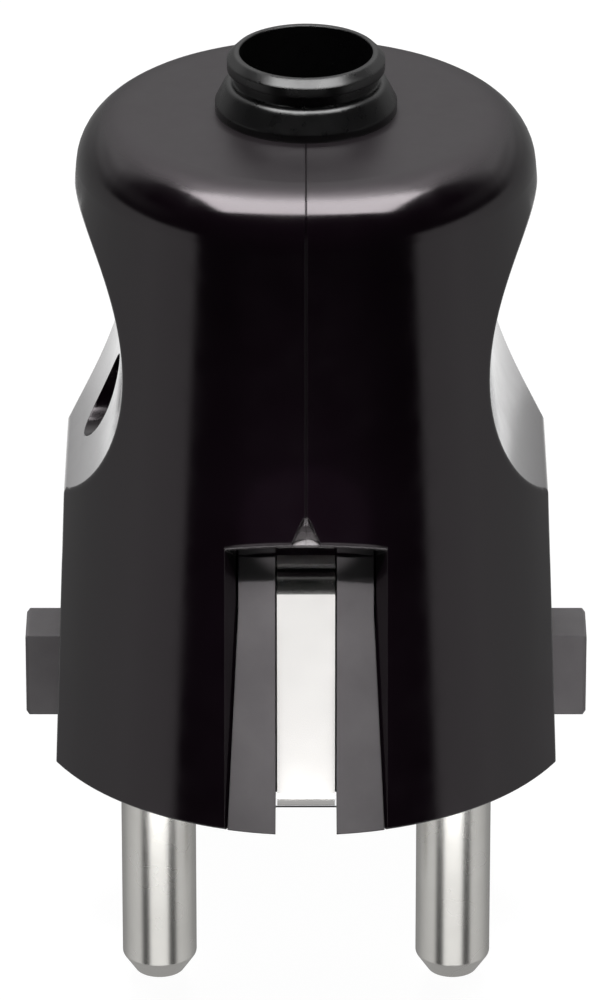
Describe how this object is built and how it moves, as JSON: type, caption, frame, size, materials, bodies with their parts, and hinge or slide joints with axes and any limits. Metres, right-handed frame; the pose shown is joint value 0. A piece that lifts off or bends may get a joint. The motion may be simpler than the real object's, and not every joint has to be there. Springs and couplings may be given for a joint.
{
  "type": "electrical plug",
  "caption": "Rewirable earthed mains plug: round glossy housing in half shells with finger scoops, slotted contact carrier, round contact pins, bent earth strip and a cord gland on top",
  "frame": {"origin": "centre of the engagement face, midway between the contact pins where they leave the carrier", "axes": "+Z away from the socket, up to the cord entry; X through both contact pins; Y through both earth contacts, -Y the side that faces the viewer"},
  "size_m": [0.0358, 0.035, 0.0644],
  "materials": {
    "housing": "polished black moulding",
    "carrier": "matt dark grey moulding",
    "nickel": "nickel plated brass, polished",
    "screw": "zinc plated steel",
    "clamp": "matt black moulding",
    "gland": "smooth black rubber"
  },
  "bodies": {
    "root": {"housing_left": "housing", "housing_right": "housing", "contact_carrier": "carrier", "contact_pin_left": "nickel", "contact_pin_right": "nickel", "earth_strip": "nickel", "terminal_screw_left": "screw", "terminal_screw_right": "screw", "earth_terminal_screw": "screw", "earth_terminal_washer": "screw", "cord_clamp": "clamp", "cord_clamp_screw_left": "screw", "cord_clamp_screw_right": "screw", "housing_screw": "screw", "cord_gland": "gland"}
  },
  "joints": []
}
